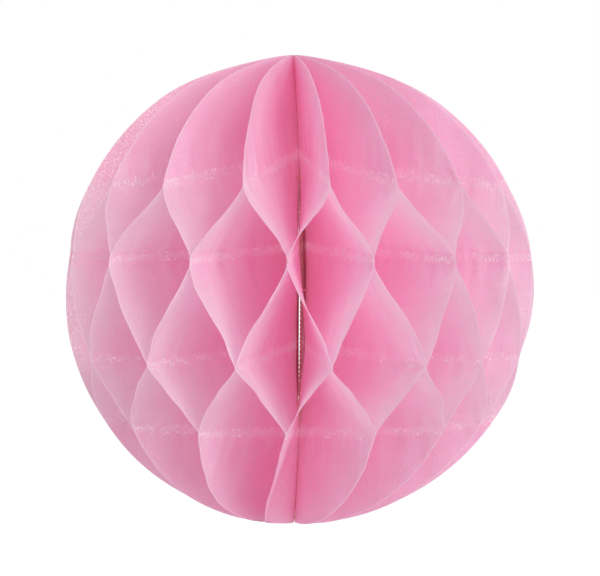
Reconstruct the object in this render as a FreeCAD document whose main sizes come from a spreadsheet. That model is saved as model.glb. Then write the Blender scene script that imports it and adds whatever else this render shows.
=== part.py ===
"""A paper honeycomb ball: tissue sheets fanned a full turn about a stitched spine.

Each sheet is a half-disc that waves from cell wall to cell wall: it leans on one
neighbour at the top and lower glue lines, and on the other neighbour at the upper and
bottom ones. Two cover cards end the fan and are taped together at the seam.

The origin is the hanging point at the top of the spine. +Z runs up along the spine,
and the seam where the covers meet faces +Y.
"""

import FreeCAD, Part
import Sketcher
import math
import os

OUT = "parts"

# alias, value (millimetres, degrees or a count), what it is
SIZES = [
    ("ball_radius", 50, "outside radius of the opened ball"),
    ("sheet_count", 32, "tissue sheets in the fan, an even number"),
    ("paper_thickness", 0.1, "one tissue sheet"),
    ("glue_gap", 0.06, "room between two sheets at a glue line"),
    ("glue_band", 1.8, "half the height of a glue line"),
    ("spine_bore", 1.2, "radius at which the sheets start"),
    ("top_height", 29.3, "top glue line above the ball's middle, at the spine"),
    ("upper_height", 9.5, "upper glue line"),
    ("lower_height", -11.5, "lower glue line"),
    ("bottom_height", -30.5, "bottom glue line"),
    ("top_slope", 9.8, "fall of the top glue line from the spine outwards"),
    ("upper_slope", 2.7, "fall of the upper glue line"),
    ("lower_slope", 2.5, "fall of the lower glue line"),
    ("bottom_slope", -4.7, "fall of the bottom glue line, which rises"),
    ("card_radius", 49.5, "outside radius of a cover card"),
    ("card_thickness", 0.2, "one cover card"),
    ("card_bore", 2.8, "distance from the spine at which a card starts"),
    ("card_gap", 0.04, "room between a card and the sheet that lies on it"),
    ("end_bore", 2.5, "radius at which the first and the last sheet start"),
    ("seam_gap", 0.1, "room between the two cards"),
    ("tape_thickness", 0.08, "double-sided tape in the seam"),
    ("tape_width", 6, "tape, from the spine outwards"),
    ("tape_length", 16, "tape, along the seam"),
    ("tape_reach", 33, "inner edge of the tape from the spine"),
    ("tape_height", 9, "near end of each tape from the ball's middle"),
    ("thread_radius", 0.325, "spine thread"),
    ("knot_radius", 0.8, "knot at each end of the spine thread"),
    ("knot_height", 1.3, "the same knot, along the spine"),
    ("knot_rounding", 0.35, "the same knot, at its edges"),
    ("loop_radius", 3.4, "binding loop through all the sheets, to its middle"),
    ("loop_thread", 0.2, "radius of the thread of a binding loop"),
    ("loop_spacing", 24, "height between two binding loops"),
    ("stitch_hole", 0.3, "radius of the hole that a binding loop passes through"),
]

GLUE_LINES = ["top", "upper", "lower", "bottom"]
LOOPS = {"upper": 1, "middle": 0, "lower": -1}
BLANK = 1.2  # the uncut paper reaches this many ball radii
EASING_STEPS = 4  # straight strips from one glue line to the next
SEAM_TURN = 90  # degrees from +X to the seam
FULL_TURN = 360  # degrees
FIRST_SHEET = 0.5  # the first sheet stands this many sheet steps past the seam

MIDDLE = "-Sizes.ball_radius"
LEAN = "180 / Sizes.sheet_count"
GLUED = "(Sizes.glue_gap + Sizes.paper_thickness) / 2"
CARDED = (
    "Sizes.seam_gap / 2 + Sizes.card_thickness + Sizes.card_gap"
    " + Sizes.paper_thickness / 2"
)

doc = FreeCAD.newDocument("honeycomb_ball")
sub_parts = []


def spreadsheet():
    """Put the driving dimensions in the document's sheet."""
    sheet = doc.addObject("Spreadsheet::Sheet", "Sizes")
    for row, (alias, value, note) in enumerate(SIZES, start=1):
        sheet.set(f"A{row}", note)
        sheet.set(f"B{row}", str(value))
        sheet.setAlias(f"B{row}", alias)
    doc.recompute()


def bind(piece, **formulas):
    """Tie properties of a piece to formulas over the sheet's cells."""
    for name, formula in formulas.items():
        piece.setExpression(name, formula)
    return piece


def sub_part(piece, label):
    """Name one of the ball's own pieces and list it for export."""
    piece.Label = label
    sub_parts.append(piece)
    return piece


def stand(piece, turn, outwards="0", sideways="0", height=MIDDLE):
    """Turn a piece about the spine and place it from there, in the turned directions."""
    x = f"({outwards}) * cos({turn}) - ({sideways}) * sin({turn})"
    y = f"({outwards}) * sin({turn}) + ({sideways}) * cos({turn})"
    turned = f"rotation(vector(0; 0; 1); {turn})"
    return bind(piece, Placement=f"placement(vector({x}; {y}; {height}); {turned})")


def blend(start, end, share):
    """A formula that lies this share of the way from one formula to another."""
    return f"({start}) * {1 - share} + ({end}) * {share}"


def section(name, bore, height, slope, lean, offset):
    """A strip across the paper, from the spine out, that the wave passes through."""
    strip = doc.addObject("Part::Plane", name)
    bind(strip, Length=f"Sizes.ball_radius * {BLANK}", Width="Sizes.paper_thickness")
    side = f"({offset} - Sizes.paper_thickness / 2)"
    x = f"{bore} * cos({lean}) - {side} * sin({lean})"
    y = f"{bore} * sin({lean}) + {side} * cos({lean})"
    z = f"{height} - {bore} * tan({slope})"
    place = f"placement(vector({x}; {y}; {z}); rotation({lean}; {slope}; 0))"
    return bind(strip, Placement=place)


def waved_paper(name, bore, first_offset):
    """Paper that leans to +Y at the top and lower glue lines and to -Y at the others.

    At the top and lower lines it stays first_offset short of the wall it leans on.
    """
    sides = [(LEAN, f"-({first_offset})"), (f"-{LEAN}", GLUED)] * 2
    levels = [
        (f"Sizes.{line}_height", f"Sizes.{line}_slope", *side)
        for line, side in zip(GLUE_LINES, sides)
    ]
    stations = [(f"Sizes.ball_radius * {BLANK}", "0", *sides[0])]
    for number, (height, slope, lean, offset) in enumerate(levels):
        above = f"{height} + Sizes.glue_band"
        below = f"{height} - Sizes.glue_band"
        stations += [(above, slope, lean, offset), (below, slope, lean, offset)]
        for step in range(1, EASING_STEPS if number + 1 < len(levels) else 0):
            way = step / EASING_STEPS
            eased = (1 - math.cos(math.pi * way)) / 2
            next_height, next_slope, next_lean, next_offset = levels[number + 1]
            stations.append(
                (
                    blend(below, f"{next_height} + Sizes.glue_band", way),
                    blend(slope, next_slope, way),
                    blend(lean, next_lean, eased),
                    blend(offset, next_offset, eased),
                )
            )
    stations.append((f"-Sizes.ball_radius * {BLANK}", "0", *sides[-1]))
    paper = doc.addObject("Part::Loft", name)
    paper.Sections = [
        section(f"{name}_strip_{number:02}", f"Sizes.{bore}", *station)
        for number, station in enumerate(stations, start=1)
    ]
    paper.Solid = True
    paper.Ruled = True
    return paper


def torus(name, ring, tube, height):
    """A ring about the spine, at a height from the ball's middle."""
    piece = doc.addObject("Part::Torus", name)
    bind(piece, Radius1=f"Sizes.{ring}", Radius2=f"Sizes.{tube}")
    return bind(piece, Placement=f"placement(vector(0; 0; {height}); rotation(0; 0; 0))")


def half_disc(name, paper, ball):
    """The waved paper cut round where it meets the ball, and the same seen in a mirror."""
    cut_round = doc.addObject("Part::Common", name)
    cut_round.Base = paper
    cut_round.Tool = ball
    mirrored = doc.addObject("Part::Mirroring", f"{name}_mirrored")
    mirrored.Source = cut_round
    mirrored.Normal = FreeCAD.Vector(0, 1, 0)
    return cut_round, mirrored


def make_sheets(count):
    """The tissue sheets, each in its place in the fan, with its binding holes."""
    ball = bind(doc.addObject("Part::Sphere", "ball"), Radius="Sizes.ball_radius")
    holes = doc.addObject("Part::MultiFuse", "binding_holes")
    holes.Shapes = [
        torus(f"{name}_holes", "loop_radius", "stitch_hole", f"{level} * Sizes.loop_spacing")
        for name, level in LOOPS.items()
    ]
    middle = half_disc("half_disc", waved_paper("paper", "spine_bore", GLUED), ball)
    end = half_disc("end_half_disc", waved_paper("end_paper", "end_bore", CARDED), ball)
    for number in range(1, count + 1):
        piece = doc.addObject("Part::Cut", f"sheet_{number:02}")
        is_end = number in (1, count)
        piece.Base = (end if is_end else middle)[number % 2]
        piece.Tool = holes
        steps = number - 1 + FIRST_SHEET
        turn = f"{SEAM_TURN} + {steps} * {FULL_TURN} / Sizes.sheet_count"
        sub_part(stand(piece, turn), f"sheet_{number:02}")


def origin_plane(body, role):
    return next(plane for plane in body.Origin.OriginFeatures if plane.Role == role)


def card_outline(body, radius, bore, holes):
    """A sketch of the half-disc, open towards the spine at its straight inner edge."""
    sketch = body.newObject("Sketcher::SketchObject", f"{body.Name}_outline")
    sketch.AttachmentSupport = [(origin_plane(body, "XZ_Plane"), "")]
    sketch.MapMode = "FlatFace"
    axis = FreeCAD.Vector(0, 0, 1)
    half = math.acos(bore / radius)
    circle = Part.Circle(FreeCAD.Vector(0, 0, 0), axis, radius)
    arc = sketch.addGeometry(Part.ArcOfCircle(circle, -half, half))
    ends = [FreeCAD.Vector(bore, side * radius * math.sin(half), 0) for side in (1, -1)]
    edge = sketch.addGeometry(Part.LineSegment(*ends))
    add = sketch.addConstraint
    add(Sketcher.Constraint("Coincident", arc, 3, -1, 1))
    add(Sketcher.Constraint("Coincident", arc, 2, edge, 1))
    add(Sketcher.Constraint("Coincident", arc, 1, edge, 2))
    add(Sketcher.Constraint("Vertical", edge))
    named = [
        (add(Sketcher.Constraint("Radius", arc, radius)), "Sizes.card_radius"),
        (add(Sketcher.Constraint("DistanceX", -1, 1, edge, 1, bore)), "Sizes.card_bore"),
    ]
    for reach, height, size, level in holes:
        middle = FreeCAD.Vector(reach, height, 0)
        hole = sketch.addGeometry(Part.Circle(middle, axis, size))
        named.append((add(Sketcher.Constraint("Radius", hole, size)), "Sizes.stitch_hole"))
        across = Sketcher.Constraint("DistanceX", -1, 1, hole, 3, reach)
        named.append((add(across), "Sizes.loop_radius"))
        if level:
            up = Sketcher.Constraint("DistanceY", -1, 1, hole, 3, height)
            named.append((add(up), f"{level} * Sizes.loop_spacing"))
        else:
            add(Sketcher.Constraint("PointOnObject", hole, 3, -1))
    for constraint, formula in named:
        sketch.setExpression(f"Constraints[{constraint}]", formula)
    return sketch


def make_cards(cell):
    """The two cover cards, back to back at the seam."""
    holes = [
        (cell["loop_radius"], level * cell["loop_spacing"], cell["stitch_hole"], level)
        for level in LOOPS.values()
    ]
    faces = {
        "fixed_cover_card": "-(Sizes.seam_gap / 2 + Sizes.card_thickness)",
        "free_cover_card": "Sizes.seam_gap / 2",
    }
    for name, face in faces.items():
        body = doc.addObject("PartDesign::Body", name)
        sketch = card_outline(body, cell["card_radius"], cell["card_bore"], holes)
        sketch.setExpression("AttachmentOffset.Base.z", face)
        pad = body.newObject("PartDesign::Pad", f"{name}_board")
        pad.Profile = sketch
        bind(pad, Length="Sizes.card_thickness")
        body.Tip = pad
        sub_part(stand(body, SEAM_TURN), name)


def make_tape():
    """Two strips of double-sided tape on the fixed cover's outer face."""
    starts = {"upper": "Sizes.tape_height", "lower": "-Sizes.tape_height - Sizes.tape_length"}
    for name, start in starts.items():
        strip = doc.addObject("Part::Box", f"seam_tape_{name}")
        bind(strip, Length="Sizes.tape_width", Width="Sizes.tape_thickness")
        bind(strip, Height="Sizes.tape_length")
        stuck = "Sizes.seam_gap / 2 - Sizes.tape_thickness"
        stand(strip, SEAM_TURN, "Sizes.tape_reach", stuck, f"{MIDDLE} + {start}")
        sub_part(strip, strip.Name)


def make_knot(name, height):
    """The rounded knot at one end of the spine thread."""
    body = doc.addObject("PartDesign::Body", name)
    wrap = body.newObject("PartDesign::AdditiveCylinder", f"{name}_wraps")
    bind(wrap, Radius="Sizes.knot_radius", Height="Sizes.knot_height")
    doc.recompute()
    round_off = body.newObject("PartDesign::Fillet", f"{name}_rounding")
    rims = [
        f"Edge{number}"
        for number, edge in enumerate(wrap.Shape.Edges, start=1)
        if isinstance(edge.Curve, Part.Circle)
    ]
    round_off.Base = (wrap, rims)
    bind(round_off, Radius="Sizes.knot_rounding")
    body.Tip = round_off
    sub_part(stand(body, 0, height=height), name)


def make_binding():
    """The thread along the spine with its two knots, and the loops round it."""
    thread = doc.addObject("Part::Cylinder", "spine_thread")
    length = "2 * (Sizes.ball_radius - Sizes.knot_height)"
    bind(thread, Radius="Sizes.thread_radius", Height=length)
    stand(thread, 0, height="Sizes.knot_height - 2 * Sizes.ball_radius")
    sub_part(thread, "spine_thread")
    make_knot("top_knot", "-Sizes.knot_height")
    make_knot("bottom_knot", "-2 * Sizes.ball_radius")
    for name, level in LOOPS.items():
        height = f"{MIDDLE} + {level} * Sizes.loop_spacing"
        loop = torus(f"binding_loop_{name}", "loop_radius", "loop_thread", height)
        sub_part(loop, loop.Name)


def check():
    """Stop before anything is written if an object failed or a piece isn't sound."""
    for item in doc.Objects:
        bad = {"Invalid", "Error"} & set(item.State)
        if bad:
            raise RuntimeError(f"{item.Name} is {bad}")
    for piece in sub_parts:
        shape = piece.Shape
        if shape.isNull() or not shape.isValid() or len(shape.Solids) != 1:
            raise RuntimeError(f"{piece.Label} isn't one sound solid")


def export():
    os.makedirs(OUT, exist_ok=True)
    for piece in sub_parts:
        piece.Shape.exportStep(f"{OUT}/{piece.Label}.step")


spreadsheet()
cells = {alias: value for alias, value, _ in SIZES}
make_sheets(cells["sheet_count"])
make_cards(cells)
make_tape()
make_binding()
doc.recompute()
check()
export()
print(len(sub_parts), "pieces")
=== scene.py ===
"""A pink tissue honeycomb ball.

32 waved half-discs of tissue stand round a thread, and two cover cards close the ball at the back.
"""

import math
from collections import namedtuple

import bpy
import numpy as np
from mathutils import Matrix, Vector


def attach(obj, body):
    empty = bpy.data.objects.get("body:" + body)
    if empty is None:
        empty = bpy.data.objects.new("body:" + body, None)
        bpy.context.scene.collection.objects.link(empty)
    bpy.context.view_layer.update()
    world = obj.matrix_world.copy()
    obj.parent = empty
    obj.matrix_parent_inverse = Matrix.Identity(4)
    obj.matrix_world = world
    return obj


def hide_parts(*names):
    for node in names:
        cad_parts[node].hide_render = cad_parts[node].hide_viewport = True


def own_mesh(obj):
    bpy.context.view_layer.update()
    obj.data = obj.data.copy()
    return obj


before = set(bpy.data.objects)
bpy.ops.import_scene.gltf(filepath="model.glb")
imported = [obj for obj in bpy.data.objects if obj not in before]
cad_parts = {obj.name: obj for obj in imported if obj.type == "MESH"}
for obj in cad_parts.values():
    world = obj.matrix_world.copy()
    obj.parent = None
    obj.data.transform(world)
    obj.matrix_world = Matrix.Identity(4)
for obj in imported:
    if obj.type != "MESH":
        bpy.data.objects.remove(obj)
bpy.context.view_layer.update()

MM = 0.001
BALL = 50.0  # the ball's radius, in mm; all shapes below are in mm from its middle
MIDDLE = -50.0  # height of the ball's middle, in mm, with the hanging point at 0
CENTRE = Vector((0, 0, MIDDLE * MM))
SHEETS = 32
PAIRS = SHEETS // 2
STEP = 360 / SHEETS  # degrees from one sheet to the next
SEAM = 90.0  # direction of the cover cards
HALF_GAP = 0.08  # from the middle of a glued pair to either sheet
CARD_SIDE = 0.34  # from the seam's middle to the sheet that lies on a card
BORE = 0.36  # from the spine to where a sheet starts, near the poles
WAIST_BORE = 1.2  # the same halfway down, where the spine's slot gapes at the front
END_BORE = 2.5  # the same for the first and the last sheet, clear of the cards
KNOT_ROOM = 1.0  # the least of it round a knot
KNOT_DEPTH = 2  # how far down from a pole the knot needs that room
LONGEST_BORE = 0.6  # the most of it, as a share of the row
WAIST = -2, 23  # middle and half height of the slot
WAIST_EDGE = 6  # how sharply the slot ends at the top and bottom
GAPE = 0.75  # how far the sheets on either side of the slot are pushed aside
GAPE_SHEETS = 3  # how many sheets it takes for that to fade
GAPE_REACH = 9  # and how many mm outwards
PINCH = 0.16  # and as a share of it, how far they are drawn together above and below the slot
SLOT_PLACES = 15.5, 16.5, 15.5, 16.5  # the two sheets it lies between, at each glue line
BOW = 0.5, 1.6  # how far the spine bends aside halfway down, and how much less at the poles
STRAIGHT = 8  # degrees from the seam within which a sheet doesn't bend with the spine
STRAIGHT_FADE = 35  # and over how many degrees more it comes to bend fully
BANDS = (0.5, 1.5, 0.5, 0.5)  # half the height of the contact at each glue line
EASING = 0.15  # share of a wave that is eased, the rest being straight
SIDE_RISE = 2  # how far from the spine a sheet reaches its full distance from its pair's middle
LEAN_RISE = 10  # and its full lean
STEEPEST = 0.93  # sine of the most that a point may swing aside, close to the spine

# Glue lines from the top: height at the spine, fall per mm outwards, and whether it is one of the two
# that the seam is on. Then by how many degrees each pair stands off its even place, from the seam round.
GlueLine = namedtuple("GlueLine", "height fall on_seam offs")
GLUE_LINES = (
    GlueLine(29.3, 0.173, True, (0, 0, -1, 1, 1, 1, 0, 0, -1, -6, -8, -9, -7, -5, -3, -1)),
    GlueLine(9.5, 0.047, False, (0, 1, 0, -1, -1, -2, 0, 0, -3, -4, -6, -7, -6, -4, -2, -1)),
    GlueLine(-11.5, 0.044, True, (0, -1, 0, -2, -3, -3, -2, -1, -1, 0, -4, -5, -4, -3, -2, -1)),
    GlueLine(-30.5, -0.082, False, (-1, -2, -3, -5, -6, -6, -3, -1, 1, 1, -2, -3, -3, -2, -1, 0)),
)
# A sheet at a glue line: the direction of its pair, the side of the pair that it is on (1 or -1), how far
# it is from the pair's middle, and the pair's number
Knot = namedtuple("Knot", "height turn side off pair")

# How far each bottom flap leans, in mm per mm below the lowest glue line
LEANS = (0.1, 0.2, 0.3, 0.4, 0.4, 0.28, 0.4, 0.35, 0, 0, 0, 0.1, 0, 0.1, 0, 0.1)
# The share of that lean that is lost at the pole
UPRIGHT = (0.6, 0.6, 0.6, 0.6, 0.6, 0.6, 0.4, 0.15, 0.6, 0.6, 0.6, 0.6, 0.6, 0.6, 0.6, 0.6)
UPRIGHT_DEPTH = 42  # how far below the ball's middle the loss starts
UPRIGHT_FADE = 8  # and over how many mm it grows to that share
# How far each top flap bellies, in mm
BELLIES = (0, 0.3, 0, 0.5, 0.8, 1.0, 1.2, 1.3, 0, 0, 0, 0, 0.3, 0, 0.3, 0)
POINT = 0.45  # how much the flaps' edges are drawn in at the top of the ball
POINT_HEIGHT = 42  # and from what height
POINT_POWER = 3  # how late most of it comes

WORLD_LIGHT = 0.6  # the soft light from all round
FLOOR_GLOW = 0.6  # keeps the floor pale all the way to the horizon
# name, degrees round from the front, degrees up, size in metres, watts
LAMPS = (
    ("key", 35, 5, 0.3, 1.1),
    ("front_fill", 15, 5, 0.3, 0.7),
    ("upper_key", 25, 40, 0.3, 0.9),
    ("overhead", 0, 80, 0.3, 0.5),
)
LAMP_DISTANCE = 0.8  # from the ball's middle, in metres
FLOOR_HALF = 3  # half the floor's side, in metres
FLOOR_HEIGHT = -0.17

CAMERA_TURN = -8.65  # degrees round from the front
CAMERA_RISE = 2  # degrees up
CAMERA_DISTANCE = 0.45
CAMERA_LENS = 126.1
CAMERA_SHIFT = 1 / 600, 1.5 / 600  # how far the ball is left of and under the picture's middle, in widths

# The sheets round this direction get the most white fibre along their rims, and there the paler, warmer,
# glowing open weave is partly painted backlight
WEAVE_AND_PAINTED_BACKLIGHT_TURN = 186
WEAVE_AND_PAINTED_BACKLIGHT_SPAN = 15
WEAVE_AND_PAINTED_BACKLIGHT_FOOT = -10  # the height below which it thins out
WEAVE_AND_PAINTED_BACKLIGHT_FADE = 14  # over how many mm
WEAVE_AND_PAINTED_BACKLIGHT_LOSS = 0.8  # and by what share

FLAP_ROWS = 22  # above the first glue line, and as many below the last
WAVE_ROWS = 18  # from one glue line to the next
POLE_ANGLE = 89.4  # degrees up to the first row, which is just short of the pole
COLUMNS = 52
CROWDING = 1.45  # how much closer together the columns are towards the rim; 1 spaces them evenly

# Each sheet's ripples, in mm: size at the rim, length across the sheet and length along the spine
RIPPLES = ((0.35, 22, 31), (0.2, 9, 17), (0.08, 5, 7))
RIPPLE_START = 1.5  # how far from a glue line they begin
RIPPLE_FADE = 5  # and over how many mm they grow
# Puckers that hang from a glue line, in mm: size at the rim and length across the sheet
PUCKERS = ((0.2, 4.7), (0.12, 3.1))
PUCKER_DROP = 4.5  # how far from the glue line they fade
PUCKER_START = 1.2  # and over how many mm they grow
# The first and the last sheet lie on a card this far from its glue lines, and leave it over this distance
CARD_CONTACT, CARD_LEAVING = 3, 5

SPINE_SHADE_NARROWING = 0.45  # how much narrower the painted shade at the spine's edge is above and below the slot, in mm

rng = np.random.default_rng(11)


def draw_ripples():
    """Ripples of one sheet or pair: size, waves per mm outwards, waves per mm along the spine, and phase."""
    return [
        (size, rng.uniform(-1, 1) / across, 1 / along, rng.uniform(0, 1))
        for size, across, along in RIPPLES
    ]


# Above the first glue line and below the last, the two sheets of a pair ripple as one
TOP_RIPPLES = [draw_ripples() for _ in range(PAIRS)]
BOTTOM_RIPPLES = [draw_ripples() for _ in range(PAIRS)]
# Phases of each pair's puckers, by glue line
PUCKER_PHASES = rng.uniform(0, 1, (len(GLUE_LINES), PAIRS, len(PUCKERS)))


def smooth(x):
    """An eased step, from 0 at 0 to 1 at 1."""
    x = np.clip(x, 0, 1)
    return x * x * (3 - 2 * x)


def sheet_turn(sheet):
    """Direction of a sheet in an evenly opened ball."""
    return SEAM + (sheet - 0.5) * STEP


def knot_at(line, sheet):
    """Where a sheet is at a glue line."""
    follows = line.on_seam == (sheet % 2 == 1)  # the sheet comes after its pair's middle
    number = sheet // 2 if line.on_seam else (sheet - 1) // 2
    turn = SEAM + (2 * number + (0 if line.on_seam else 1)) * STEP
    pair = number % PAIRS
    off = CARD_SIDE if line.on_seam and pair == 0 else HALF_GAP
    return Knot(line.height, turn + line.offs[pair], 1 if follows else -1, off, pair)


def row_heights():
    """Heights at the spine of a sheet's rows, top to bottom, closer together at the poles and glue lines."""
    lines = [line.height for line in GLUE_LINES]
    top = math.degrees(math.asin(lines[0] / BALL))
    rows = [BALL * math.sin(math.radians(a)) for a in np.linspace(POLE_ANGLE, top, FLAP_ROWS, endpoint=False)]
    for upper, lower in zip(lines, lines[1:]):
        part = 0.5 - 0.5 * np.cos(np.linspace(0, math.pi, WAVE_ROWS, endpoint=False))
        rows += list(upper + (lower - upper) * part)
    bottom = math.degrees(math.asin(lines[-1] / BALL))
    rows += [BALL * math.sin(math.radians(a)) for a in np.linspace(bottom, -POLE_ANGLE, FLAP_ROWS + 1)]
    return np.array(rows)


def fall(height):
    """Fall per mm outwards of the row that starts at this height on the spine."""
    known = [(-BALL, 0)] + [(line.height, line.fall) for line in reversed(GLUE_LINES)] + [(BALL, 0)]
    return float(np.interp(height, *zip(*known)))


def reach(height, slope):
    """Distance from the spine at which a row meets the ball's surface."""
    a, b, c = 1 + slope * slope, -2 * height * slope, height * height - BALL * BALL
    return (-b + math.sqrt(b * b - 4 * a * c)) / (2 * a)


def bow(z, rho):
    """Sideways bend of the ball's core. It fades outwards, so that the cut edges stay on the ball."""
    return (BOW[0] - BOW[1] * (z / BALL) ** 2) * (1 - (rho / BALL) ** 2)


def bow_share(sheet):
    """How much of the bow a sheet follows: the sheets beside the cover cards are as straight as the cards."""
    from_seam = (sheet - 0.5) * STEP
    return float(smooth((min(from_seam, 360 - from_seam) - STRAIGHT) / STRAIGHT_FADE))


def row_place(h, knots):
    """Direction of the row that starts at height h, and how far it is moved aside: evenly, and as a lean."""
    first, last = knots[0], knots[-1]
    if h >= first.height:
        share = (h - first.height) / (BALL - first.height)
        return first.turn, first.side * first.off, -BELLIES[first.pair] * math.sin(math.pi * share)
    if h <= last.height:
        lost = UPRIGHT[last.pair] * float(smooth((-h - UPRIGHT_DEPTH) / UPRIGHT_FADE))
        return last.turn, last.side * last.off, -LEANS[last.pair] * (last.height - h) * (1 - lost)
    n = max(i for i, knot in enumerate(knots) if knot.height > h)
    a, b = knots[n], knots[n + 1]
    t = (a.height - h - BANDS[n]) / (a.height - b.height - BANDS[n] - BANDS[n + 1])
    t = float(np.clip(t, 0, 1))
    t += EASING * (float(smooth(t)) - t)
    start, end = a.side * a.off, b.side * b.off
    return a.turn + (b.turn - a.turn) * t, start + (end - start) * t, 0.0


def row_start(h, sheet, out, waist):
    """Distance from the spine at which a row starts, where out is the distance at which it ends."""
    start = END_BORE if sheet in (1, SHEETS) else BORE + (WAIST_BORE - BORE) * waist
    if abs(h) > BALL - KNOT_DEPTH:
        start = max(start, KNOT_ROOM)
    return min(start, LONGEST_BORE * out)


def row_end(h):
    """Distance from the spine at which a row ends."""
    return reach(h, fall(h)) * (
        1 - POINT * max(0, (h - POINT_HEIGHT) / (BALL - POINT_HEIGHT)) ** POINT_POWER
    )


def from_glue(h):
    """Distance along the spine to the nearest glue line."""
    return min(abs(h - line.height) for line in GLUE_LINES)


def row_ripple(h, rho, sheet, knots, own_ripples):
    """Ripples and puckers of a row at the distances rho from the spine, as large as they are at the rim."""
    ripples = own_ripples
    if h > knots[0].height:
        ripples = TOP_RIPPLES[knots[0].pair]
    elif h < knots[-1].height:
        ripples = BOTTOM_RIPPLES[knots[-1].pair]
    ripple = smooth((from_glue(h) - RIPPLE_START) / RIPPLE_FADE) * sum(
        size * np.sin(2 * math.pi * (per_rho * rho + per_h * h + phase))
        for size, per_rho, per_h, phase in ripples
    )
    for knot, phases in zip(knots, PUCKER_PHASES):
        drop = abs(h - knot.height)
        for (size, across), phase in zip(PUCKERS, phases[knot.pair]):
            pucker = size * math.exp(-drop / PUCKER_DROP) * min(1, drop / PUCKER_START)
            ripple = ripple + pucker * np.sin(2 * math.pi * (rho / across + phase))
    if sheet in (1, SHEETS):  # it lies on a card, at the seam's glue lines and above the first
        from_card = 0 if h > knots[0].height else min(abs(h - knots[0].height), abs(h - knots[2].height))
        lies = 1 - float(smooth((from_card - CARD_CONTACT) / CARD_LEAVING))
        ripple = ripple + lies * (knots[0].side * np.abs(ripple) - ripple)
    return ripple


def row_gape(h, rho, sheet, waist):
    """How far a row is pushed aside by the slot in front of the spine."""
    from_slot = sheet - np.interp(-h, [-line.height for line in GLUE_LINES], SLOT_PLACES)
    gape = np.clip(2 * from_slot, -1, 1) * GAPE * math.exp((0.5 - abs(from_slot)) / GAPE_SHEETS)
    pinch = PINCH * (1 - waist) * np.minimum(1, rho)
    return gape * (waist - pinch) * (1 - smooth((rho - 1) / GAPE_REACH))


def sheet_grid(sheet):
    """Points (row, column, xyz) of a sheet, what its material reads there, and the same points laid flat."""
    heights = row_heights()
    knots = [knot_at(line, sheet) for line in GLUE_LINES]
    columns = np.arange(COLUMNS + 1) / COLUMNS
    own_ripples = draw_ripples()
    shape = len(heights), COLUMNS + 1
    points, flat = np.zeros(shape + (3,)), np.zeros(shape + (2,))
    edge, glue, core = np.zeros(shape), np.zeros(shape), np.zeros(shape)
    for r, h in enumerate(heights):
        turn, side, lean = row_place(h, knots)
        out = row_end(h)
        waist = math.exp(-(((h - WAIST[0]) / WAIST[1]) ** WAIST_EDGE))
        start = row_start(h, sheet, out, waist)
        rho = out - (out - start) * (1 - columns) ** CROWDING
        z = h - fall(h) * rho
        aside = side * np.minimum(1, rho / SIDE_RISE) + lean * smooth(rho / LEAN_RISE)
        aside += row_ripple(h, rho, sheet, knots, own_ripples) * (rho / BALL) ** 2
        aside += row_gape(h, rho, sheet, waist)
        a = math.radians(turn) + np.arcsin(np.clip(aside / rho, -STEEPEST, STEEPEST))
        x = rho * np.cos(a) + bow_share(sheet) * bow(z, rho)
        points[r] = np.stack([x, rho * np.sin(a), z], 1)
        edge[r] = out - rho
        glue[r] = from_glue(h)
        # core_mm also places the painted shade at the spine's edge, narrower above and below the slot
        core[r] = rho - start + SPINE_SHADE_NARROWING * (1 - waist)
        flat[r] = np.stack([rho, np.full_like(rho, h)], 1)
    # Open weave on the sheets at the far left: real flecks, with paleness, warm tint and glow that are partly
    # painted backlight
    weave_and_painted_backlight = math.exp(-(((sheet_turn(sheet) - WEAVE_AND_PAINTED_BACKLIGHT_TURN) / WEAVE_AND_PAINTED_BACKLIGHT_SPAN) ** 2))
    open_weave_and_painted_backlight = np.full_like(edge, weave_and_painted_backlight)
    open_weave_and_painted_backlight *= 1 - WEAVE_AND_PAINTED_BACKLIGHT_LOSS * smooth((WEAVE_AND_PAINTED_BACKLIGHT_FOOT - heights) / WEAVE_AND_PAINTED_BACKLIGHT_FADE)[:, None]
    return points, {"edge_mm": edge, "glue_mm": glue, "core_mm": core, "open_weave_and_painted_backlight": open_weave_and_painted_backlight}, flat


def build_mesh(name, points, measures, flat, shift):
    """A sheet's mesh. Its texture lies on the flat sheet, moved by shift so that no two sheets are alike."""
    rows, cols = points.shape[:2]
    verts = points.reshape(-1, 3).copy()
    verts[:, 2] += MIDDLE
    index = np.arange(rows * cols).reshape(rows, cols)
    a, b, c, d = index[:-1, :-1], index[1:, :-1], index[1:, 1:], index[:-1, 1:]
    faces = np.stack([a, b, c, d], -1).reshape(-1, 4)
    mesh = bpy.data.meshes.new(name)
    mesh.from_pydata((verts * MM).tolist(), [], faces.tolist())
    mesh.polygons.foreach_set("use_smooth", np.ones(len(faces), bool))
    for key, values in measures.items():
        attribute = mesh.attributes.new(key, "FLOAT", "POINT")
        attribute.data.foreach_set("value", values.ravel().astype(np.float32))
    layer = mesh.uv_layers.new(name="paper")
    corner = np.zeros(len(mesh.loops), np.int32)
    mesh.loops.foreach_get("vertex_index", corner)
    uv = flat.reshape(-1, 2)[corner] / 100 + shift
    layer.data.foreach_set("uv", uv.astype(np.float32).ravel())
    mesh.update()
    return mesh


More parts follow.
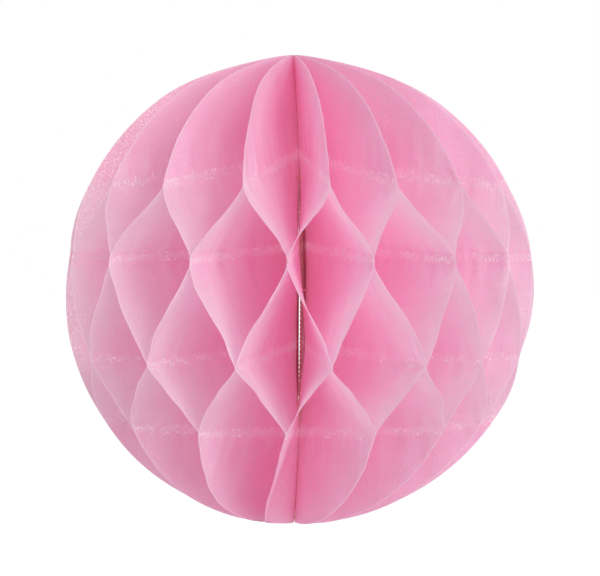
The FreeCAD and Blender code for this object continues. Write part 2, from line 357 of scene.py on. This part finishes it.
class Shader:
    """Builds one procedural material, a node at a time."""

    def __init__(self, name):
        self.material = bpy.data.materials.new(name)
        self.material.use_nodes = True
        self.tree = self.material.node_tree
        self.tree.nodes.clear()
        self.count = 0

    def add(self, kind, settings=(), **inputs):
        """A node; an input is a number or colour, or another node's socket to link."""
        made = self.tree.nodes.new(kind)
        made.location = (220 * (self.count // 4), -260 * (self.count % 4))
        self.count += 1
        for key, value in dict(settings).items():
            setattr(made, key, value)
        for key, value in inputs.items():
            socket = made.inputs[int(key[1:]) if key[0] == "_" else key.replace("_", " ")]
            if isinstance(value, bpy.types.NodeSocket):
                self.tree.links.new(value, socket)
            else:
                socket.default_value = value
        return made.outputs[0] if made.outputs else None

    def attribute(self, name):
        """A value that build_mesh stored at each point."""
        return self.add("ShaderNodeAttribute", {"attribute_name": name}).node.outputs["Fac"]

    def noise(self, where, scale, detail=2.0, stretch=(1, 1, 1)):
        """Noise with this many waves per unit of the coordinates, between about 0.3 and 0.7."""
        place = self.add("ShaderNodeMapping", Vector=where, Scale=stretch)
        return self.add("ShaderNodeTexNoise", Vector=place, Scale=scale, Detail=detail)

    def ramp(self, value, low, high, start=0.0, end=1.0):
        """An eased ramp from start, where the value is low, to end, where it is high."""
        return self.add(
            "ShaderNodeMapRange",
            {"interpolation_type": "SMOOTHSTEP"},
            Value=value,
            From_Min=low,
            From_Max=high,
            To_Min=start,
            To_Max=end,
        )

    def maths(self, operation, a, b, c=0.0):
        return self.add("ShaderNodeMath", {"operation": operation}, _0=a, _1=b, _2=c)

    def times(self, a, b):
        return self.maths("MULTIPLY", a, b)

    def largest(self, first, *others):
        for other in others:
            first = self.maths("MAXIMUM", first, other)
        return first

    def mix(self, share, a, b):
        """Colour a, with this share of colour b."""
        made = self.add("ShaderNodeMix", {"data_type": "RGBA"}, _0=share, _6=a, _7=b)
        return made.node.outputs[2]

    def bump(self, height, distance):
        """The normal of a surface whose height goes up by distance, in metres, for each 1 of height."""
        return self.add("ShaderNodeBump", Height=height, Distance=distance, Strength=1.0)

    def finish(self, surface):
        self.add("ShaderNodeOutputMaterial", Surface=surface)
        return self.material


# Colours of the tissue: the darker and the lighter one that its mottle lies between
LIT_PAPER = (0.985, 0.645, 0.795, 1), (1.0, 0.7, 0.845, 1)
SHINE_THROUGH = (0.96, 0.72, 0.875, 1), (0.99, 0.775, 0.92, 1)
# The warmer tint of the open weave, partly painted backlight; the white of fibres and dried glue, which also
# paints the highlight along the cut edge; and the painted shade at the spine's edge: for the light that the
# paper reflects, then for the light that passes through it
WARM_WEAVE_AND_PAINTED_BACKLIGHT = (1.0, 0.68, 0.74, 1), (0.99, 0.72, 0.8, 1)
WHITE_FIBRE_AND_HIGHLIGHT = (1.0, 0.92, 0.95, 1), (0.99, 0.92, 0.96, 1)
# Painted shade: the dark red laid along each sheet's edge at the spine, where the slot between sheets lies in
# deep shade
PAINTED_SHADE_AT_SPINE = (0.62, 0.1, 0.16, 1), (0.66, 0.12, 0.19, 1)
# Colours of a faint painted glow (emission) that stands in for light filtered through many sheets: near the
# rim, near the spine, on glue and open weave, and in the painted shade at the spine's edge
PAINTED_GLOW_RIM, PAINTED_GLOW_CORE = (0.6, 0.4, 0.52, 1), (0.72, 0.76, 0.8, 1)
PAINTED_GLOW_FILM, PAINTED_GLOW_SPINE_EDGE = (1.0, 0.8, 0.88, 1), (1.0, 0.05, 0.12, 1)


def tissue_material():
    """Tissue paper: translucent, with white fibres and crinkled glue lines. Painted on it: a highlight along
    the cut edge, shade at the spine's edge, a glow (emission) for light filtered through the sheets, and
    backlight in the paler open weave at the far left.
    """
    made = Shader("tissue_paper")
    paper = made.add("ShaderNodeUVMap", {"uv_map": "paper"})
    edge, glue, core = made.attribute("edge_mm"), made.attribute("glue_mm"), made.attribute("core_mm")
    weave_and_painted_backlight = made.times(made.attribute("open_weave_and_painted_backlight"), made.ramp(edge, 3.0, 12.0, 1.0, 0.0))

    # Fibres: small white flecks that gather in clouds, and all over the open weave, whose paleness there is
    # partly painted backlight
    fleck = made.ramp(made.noise(paper, 300, 4), 0.55, 0.64)
    cloud = made.ramp(made.noise(paper, 14, 4), 0.42, 0.64, 0.12, 1.0)
    fibres = made.times(fleck, made.largest(cloud, weave_and_painted_backlight))
    # Glue lines: an uneven stripe of film, crinkled across its length
    ragged = made.maths("ADD", glue, made.ramp(made.noise(paper, 45, 2), 0.3, 0.7, -0.5, 0.5))
    stripe = made.ramp(ragged, 0.7, 1.2, 1.0, 0.0)
    crinkle = made.ramp(made.noise(paper, 230, 3, (1, 0.6, 1)), 0.48, 0.56)
    worn = made.ramp(made.noise(paper, 26, 3), 0.4, 0.58, 0.4, 1.0)
    film = made.times(made.times(stripe, crinkle), worn)
    # Puckers and pale streaks that run up and down from the glue lines, and a few long creases
    pucker = made.times(made.noise(paper, 15, 1, (1, 0.22, 1)), made.ramp(glue, 0.0, 11.0, 2.6, 0.6))
    streak = made.ramp(made.noise(paper, 28, 3, (1, 0.2, 1)), 0.44, 0.6)
    streak = made.times(streak, made.ramp(glue, 0.6, 9.0, 1.0, 0.15))
    bend = made.maths("SUBTRACT", made.noise(paper, 11, 0, (1, 0.07, 1)), 0.5)
    crease = made.ramp(made.maths("ABSOLUTE", bend, 0.0), 0.0, 0.008, 1.0, 0.0)
    crease = made.times(crease, made.ramp(made.noise(paper, 6, 1), 0.45, 0.6))
    # Painted highlight along the cut edge
    painted_rim_highlight = made.ramp(edge, 0.12, 0.45, 1.0, 0.0)

    # How white the tissue is from fibres, glue, creases and streaks, with the painted highlight along the cut
    # edge; and how much painted shade it has at the spine's edge
    pale_and_highlight = made.largest(
        made.times(fibres, 0.9),
        made.times(film, 0.95),
        made.ramp(glue, 0.3, 1.1, 0.3, 0.0),
        made.times(painted_rim_highlight, 0.5),
        made.times(crease, 0.22),
        made.times(streak, 0.36),
    )
    # Painted shade along the sheet's edge at the spine
    painted_spine_shade = made.ramp(core, 0.1, 0.8, 0.8, 0.0)
    mottle = made.ramp(made.noise(paper, 9, 4), 0.3, 0.7)
    # The warm tint of the open weave is partly painted backlight
    warm_weave_and_painted_backlight = made.times(weave_and_painted_backlight, 0.4)
    front = made.mix(warm_weave_and_painted_backlight, made.mix(mottle, *LIT_PAPER), WARM_WEAVE_AND_PAINTED_BACKLIGHT[0])
    front = made.mix(pale_and_highlight, front, WHITE_FIBRE_AND_HIGHLIGHT[0])
    front = made.mix(painted_spine_shade, front, PAINTED_SHADE_AT_SPINE[0])
    through = made.mix(warm_weave_and_painted_backlight, made.mix(mottle, *SHINE_THROUGH), WARM_WEAVE_AND_PAINTED_BACKLIGHT[1])
    through = made.mix(made.times(pale_and_highlight, 0.6), through, WHITE_FIBRE_AND_HIGHLIGHT[1])
    through = made.mix(painted_spine_shade, through, PAINTED_SHADE_AT_SPINE[1])

    grain = made.times(made.noise(paper, 320, 3), 0.18)
    height = made.maths("ADD", pucker, grain)
    height = made.maths("ADD", height, made.times(film, 0.1))
    height = made.maths("ADD", height, made.times(crease, 0.1))
    bump = made.bump(height, 0.0006)
    rough = made.ramp(made.noise(paper, 60, 2), 0.3, 0.7, 0.78, 0.95)

    # How strongly the painted glow (emission) shines: on flecks, open weave, glue film, glue lines and the
    # rim
    painted_rim_glow = made.ramp(edge, 0.0, 9.0, 0.1, 0.03)
    painted_glow = made.largest(
        made.times(fibres, made.maths("MULTIPLY_ADD", weave_and_painted_backlight, 0.6, painted_rim_glow)),
        made.times(weave_and_painted_backlight, 0.15),
        made.times(film, 0.16),
        made.ramp(glue, 0.3, 0.9, 0.025, 0.0),
        made.times(painted_rim_highlight, 0.1),
    )
    # Painted glow all over the sheet, a little stronger away from the spine's edge
    painted_glow = made.maths("ADD", painted_glow, made.ramp(core, 0.1, 1.2, 0.045, 0.055))
    # Colour of the painted glow: pinker near the rim, paler towards the spine and on glue film and open weave
    painted_glow_colour = made.mix(made.ramp(edge, 8.0, 48.0), PAINTED_GLOW_RIM, PAINTED_GLOW_CORE)
    painted_glow_colour = made.mix(made.largest(film, weave_and_painted_backlight), painted_glow_colour, PAINTED_GLOW_FILM)
    skin = made.add(
        "ShaderNodeBsdfPrincipled",
        Base_Color=front,
        Roughness=rough,
        Specular_IOR_Level=0.12,
        Emission_Color=made.mix(painted_spine_shade, painted_glow_colour, PAINTED_GLOW_SPINE_EDGE),
        Emission_Strength=painted_glow,
        Normal=bump,
    )
    glow = made.add("ShaderNodeBsdfTranslucent", Color=through, Normal=bump)
    return made.finish(made.add("ShaderNodeMixShader", _0=0.5, _1=skin, _2=glow))


def thread_material():
    """Undyed cotton thread, with loose fibres on its plies."""
    made = Shader("cotton_thread")
    where = made.add("ShaderNodeTexCoord").node.outputs["Object"]
    fuzz = made.noise(where, 9000, 3)
    tone = made.ramp(made.noise(where, 1500, 2), 0.35, 0.65)
    return made.finish(
        made.add(
            "ShaderNodeBsdfPrincipled",
            Base_Color=made.mix(tone, (0.84, 0.5, 0.42, 1), (0.97, 0.8, 0.7, 1)),
            Roughness=made.ramp(fuzz, 0.3, 0.7, 0.7, 0.95),
            Sheen_Weight=0.3,
            Specular_IOR_Level=0.25,
            Normal=made.bump(fuzz, 0.00006),
        )
    )


def card_material():
    """Pink cover card: pressed pulp with pale and darker fibres."""
    made = Shader("pink_card")
    where = made.add("ShaderNodeTexCoord").node.outputs["Object"]
    pulp = made.noise(where, 2600, 4, (1, 1, 0.5))
    fibre = made.ramp(made.noise(where, 1400, 3, (1, 1, 3)), 0.56, 0.64)
    cloud = made.ramp(made.noise(where, 260, 5), 0.3, 0.7)
    colour = made.mix(cloud, (0.79, 0.33, 0.5, 1), (0.85, 0.38, 0.56, 1))
    return made.finish(
        made.add(
            "ShaderNodeBsdfPrincipled",
            Base_Color=made.mix(made.times(fibre, 0.5), colour, (0.94, 0.72, 0.79, 1)),
            Roughness=made.ramp(pulp, 0.3, 0.7, 0.68, 0.9),
            Specular_IOR_Level=0.3,
            Normal=made.bump(made.maths("ADD", pulp, made.times(fibre, 0.4)), 0.0001),
        )
    )


def tape_material():
    """Double-sided tape: a milky film over tissue, slightly cockled."""
    made = Shader("clear_tape")
    where = made.add("ShaderNodeTexCoord").node.outputs["Object"]
    cockle = made.noise(where, 420, 2, (1, 1, 0.4))
    specks = made.ramp(made.noise(where, 2400, 2), 0.58, 0.66)
    colour = made.mix(made.ramp(cockle, 0.35, 0.65), (0.86, 0.82, 0.74, 1), (0.93, 0.91, 0.87, 1))
    return made.finish(
        made.add(
            "ShaderNodeBsdfPrincipled",
            Base_Color=made.mix(made.times(specks, 0.5), colour, (0.98, 0.97, 0.95, 1)),
            Roughness=made.ramp(cockle, 0.35, 0.65, 0.28, 0.46),
            Specular_IOR_Level=0.5,
            Normal=made.bump(made.maths("ADD", cockle, specks), 0.00008),
        )
    )


tissue = tissue_material()
for number in range(1, SHEETS + 1):
    name = f"sheet_{number:02d}"
    points, measures, flat = sheet_grid(number)
    mesh = build_mesh(f"tissue_{number:02d}", points, measures, flat, (number * 0.7, number * 1.3))
    mesh.materials.append(tissue)
    piece = bpy.data.objects.new(f"tissue_{number:02d}", mesh)
    bpy.context.collection.objects.link(piece)
    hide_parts(name)
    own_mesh(piece)
    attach(piece, name)


# Pieces of thread, and the CAD node that each stands for
NODES = {
    "twisted_spine": "spine_thread",
    "tied_top": "top_knot",
    "tied_bottom": "bottom_knot",
    "stitch_upper": "binding_loop_upper",
    "stitch_middle": "binding_loop_middle",
    "stitch_lower": "binding_loop_lower",
}
PLY = 0.17  # radius of one of the spine thread's two plies
PLY_OFFSET = 0.9  # from a thread's middle to a ply's, as a share of the ply's radius
PITCH = 1.9  # length of one turn of the plies
KNOT = 1.3  # height of a knot
KNOT_CORD = 0.2  # radius of the cord that it is tied of
KNOT_LOOP = 0.19  # size of its three loops
STITCH_PLY = 0.105  # radius of one of a binding stitch's two plies
STITCH_REACH = 3.4  # from the spine to a binding stitch
STITCH_TWISTS = 15  # of the plies, on the way round
STITCHES = {"stitch_upper": 24, "stitch_middle": 0, "stitch_lower": -24}  # and their heights
SPINE_POINTS, KNOT_POINTS, STITCH_POINTS = 520, 90, 300  # along each thread


def tube(name, paths, radius, closed, sides=8):
    """A piece of thread: round tubes along lists of points in mm from the ball's middle."""
    verts, faces = [], []
    for path in paths:
        path = np.asarray(path, float)
        ahead = np.roll(path, -1, 0) - np.roll(path, 1, 0)
        if not closed:
            ahead[0], ahead[-1] = path[1] - path[0], path[-1] - path[-2]
        ahead /= np.linalg.norm(ahead, axis=1)[:, None]
        # The first direction is carried along the path, so that the tube doesn't twist
        side = np.cross(ahead[0], (0.0, 0.0, 1.0))
        if np.linalg.norm(side) < 0.3:
            side = np.cross(ahead[0], (1.0, 0.0, 0.0))
        start = len(verts)
        for point, way in zip(path, ahead):
            side = side - way * (side @ way)
            side /= np.linalg.norm(side)
            third = np.cross(way, side)
            for n in range(sides):
                a = 2 * math.pi * n / sides
                verts.append((point + radius * (math.cos(a) * side + math.sin(a) * third)) * MM)
        rings = len(path)
        for r in range(rings if closed else rings - 1):
            first, second = start + r * sides, start + (r + 1) % rings * sides
            for n in range(sides):
                m = (n + 1) % sides
                faces.append((first + n, first + m, second + m, second + n))
        if not closed:
            faces.append(tuple(range(start + sides - 1, start - 1, -1)))
            faces.append(tuple(range(start + (rings - 1) * sides, start + rings * sides)))
    verts = np.array(verts) + (0, 0, MIDDLE * MM)
    mesh = bpy.data.meshes.new(name)
    mesh.from_pydata(verts.tolist(), [], faces)
    mesh.polygons.foreach_set("use_smooth", np.array([len(f) == 4 for f in faces]))
    mesh.materials.append(thread)
    piece = bpy.data.objects.new(name, mesh)
    bpy.context.collection.objects.link(piece)
    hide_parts(NODES[name])
    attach(piece, "spine")


def spine_ply(ply):
    """One ply of the spine thread, which bends sideways with the ball's core."""
    heights = np.linspace(-BALL + KNOT, BALL - KNOT, SPINE_POINTS)
    a = 2 * math.pi * heights / PITCH + ply * math.pi
    turned = PLY_OFFSET * PLY
    return np.stack([bow(heights, 0) + turned * np.cos(a), turned * np.sin(a), heights], 1)


def knot_path(height):
    """A trefoil, standing on the bent spine."""
    t = np.linspace(0, 2 * math.pi, KNOT_POINTS, endpoint=False)
    x = KNOT_LOOP * (np.sin(t) + 2 * np.sin(2 * t))
    y = KNOT_LOOP * (np.cos(t) - 2 * np.cos(2 * t))
    z = -2 * KNOT_LOOP * np.sin(3 * t)
    return np.stack([x, y, z], 1) + (bow(height, 0), 0, height)


def stitch_ply(ply, height):
    """One ply of a binding stitch, a ring round the spine."""
    t = np.linspace(0, 2 * math.pi, STITCH_POINTS, endpoint=False)
    a = STITCH_TWISTS * t + ply * math.pi
    out = STITCH_REACH + PLY_OFFSET * STITCH_PLY * np.cos(a)
    rise = PLY_OFFSET * STITCH_PLY * np.sin(a)
    return np.stack([out * np.cos(t), out * np.sin(t), height + rise], 1)


thread = thread_material()
tube("twisted_spine", [spine_ply(ply) for ply in (0, 1)], PLY, closed=False)
for name, height in (("tied_top", BALL - KNOT / 2), ("tied_bottom", -BALL + KNOT / 2)):
    tube(name, [knot_path(height)], KNOT_CORD, closed=True, sides=10)
for name, height in STITCHES.items():
    tube(name, [stitch_ply(ply, height) for ply in (0, 1)], STITCH_PLY, closed=True, sides=6)

card, tape = card_material(), tape_material()
for name, material in (
    ("fixed_cover_card", card),
    ("free_cover_card", card),
    ("seam_tape_upper", tape),
    ("seam_tape_lower", tape),
):
    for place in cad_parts[name].material_slots:
        place.material = material


def floor_material():
    """A plain pale floor that the camera sees as white as the world behind it."""
    made = Shader("studio_floor")
    where = made.add("ShaderNodeTexCoord").node.outputs["Object"]
    seen = made.add("ShaderNodeLightPath").node.outputs["Is Camera Ray"]
    return made.finish(
        made.add(
            "ShaderNodeBsdfPrincipled",
            Base_Color=(0.84, 0.84, 0.84, 1),
            Roughness=made.ramp(made.noise(where, 400, 2), 0.3, 0.7, 0.85, 0.95),
            Emission_Color=(1, 1, 1, 1),
            Emission_Strength=made.times(seen, FLOOR_GLOW),
        )
    )


def build_floor():
    corners = [(-1, -1), (1, -1), (1, 1), (-1, 1)]
    mesh = bpy.data.meshes.new("floor")
    mesh.from_pydata([(x * FLOOR_HALF, y * FLOOR_HALF, FLOOR_HEIGHT) for x, y in corners], [], [(0, 1, 2, 3)])
    mesh.materials.append(floor_material())
    floor = bpy.data.objects.new("floor", mesh)
    bpy.context.collection.objects.link(floor)


def build_world():
    """Soft white light from all round, behind which the camera sees pure white."""
    world = bpy.data.worlds.new("studio")
    world.use_nodes = True
    tree = world.node_tree
    background = tree.nodes["Background"]
    background.inputs["Color"].default_value = (1, 1, 1, 1)
    light_path = tree.nodes.new("ShaderNodeLightPath")
    level = tree.nodes.new("ShaderNodeMapRange")
    level.inputs["To Min"].default_value = WORLD_LIGHT
    level.inputs["To Max"].default_value = 1.0
    tree.links.new(light_path.outputs["Is Camera Ray"], level.inputs["Value"])
    tree.links.new(level.outputs[0], background.inputs["Strength"])
    bpy.context.scene.world = world


def place_round_ball(thing, azimuth, elevation, distance):
    """Puts a lamp or camera round the ball, facing it. The front is azimuth 0, and left is negative."""
    a, e = math.radians(azimuth), math.radians(elevation)
    way = Vector((math.sin(a) * math.cos(e), -math.cos(a) * math.cos(e), math.sin(e)))
    thing.location = way * distance + CENTRE
    thing.rotation_mode = "QUATERNION"
    thing.rotation_quaternion = (CENTRE - thing.location).to_track_quat("-Z", "Y")


def build_lamp(name, azimuth, elevation, size, power):
    data = bpy.data.lights.new(name, "AREA")
    data.shape = "DISK"
    data.size = size
    data.energy = power
    light = bpy.data.objects.new(name, data)
    bpy.context.collection.objects.link(light)
    place_round_ball(light, azimuth, elevation, LAMP_DISTANCE)


def build_camera():
    data = bpy.data.cameras.new("camera")
    data.sensor_width = 36
    data.lens = CAMERA_LENS
    data.clip_start, data.clip_end = 0.01, 20
    data.shift_x, data.shift_y = CAMERA_SHIFT
    camera = bpy.data.objects.new("camera", data)
    bpy.context.collection.objects.link(camera)
    place_round_ball(camera, CAMERA_TURN, CAMERA_RISE, CAMERA_DISTANCE)
    bpy.context.scene.camera = camera


build_floor()
build_world()
for settings in LAMPS:
    build_lamp(*settings)
build_camera()

scene = bpy.context.scene
scene.view_settings.view_transform = "Standard"
scene.view_settings.look = "None"
# Light bounces many times between sheets before it is lost
scene.cycles.max_bounces = 32
scene.cycles.diffuse_bounces = 24
scene.cycles.transmission_bounces = 24
